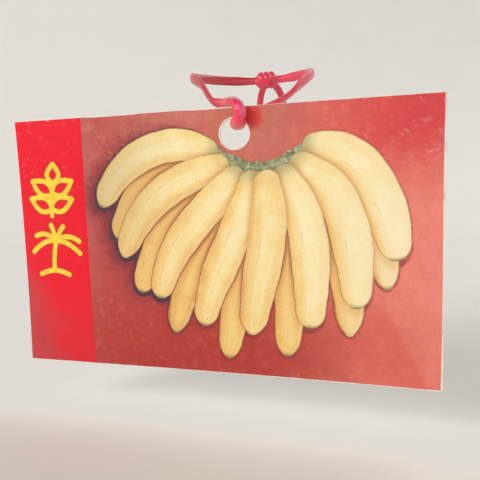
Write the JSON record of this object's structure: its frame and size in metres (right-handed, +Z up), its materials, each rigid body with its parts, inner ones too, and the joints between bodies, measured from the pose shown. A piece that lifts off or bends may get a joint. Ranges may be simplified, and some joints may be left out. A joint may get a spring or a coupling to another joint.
{
  "type": "hanging plant label",
  "caption": "Laminated plant label with a punched hole, hung on a soft red plastic tie knotted round a stem; the card swings on the tie.",
  "frame": {"origin": "on the axis of the plant stem that the tie goes round, level with the tie's knot", "axes": "+X to the right along the card's width seen from its printed face, +Y to the back, +Z up; the printed face looks along -Y"},
  "size_m": [0.09, 0.0417, 0.0669],
  "materials": {
    "card_white": "matt white cut edges, slightly soiled",
    "front_print": "semi-gloss glazed print: red ground, brighter red band, yellow motifs and fruit, scuffed",
    "back_gloss": "semi-gloss plain off-white back, faintly dusty",
    "tie_plastic": "glossy pink-red soft plastic with fine folds along it"
  },
  "bodies": {
    "tie": {"tie_loop": "tie_plastic", "tie_knot": "tie_plastic", "tie_tail_long": "tie_plastic", "tie_tail_short": "tie_plastic"},
    "label": {"card_core": "card_white", "front_skin": "front_print", "back_skin": "back_gloss"}
  },
  "joints": [
    {"name": "label_swing", "type": "hinge", "parent": "tie", "child": "label", "pos_m": [0.001, -0.0175, -0.0113], "axis": [1, 0, 0], "range_deg": [-30, 30]}
  ]
}
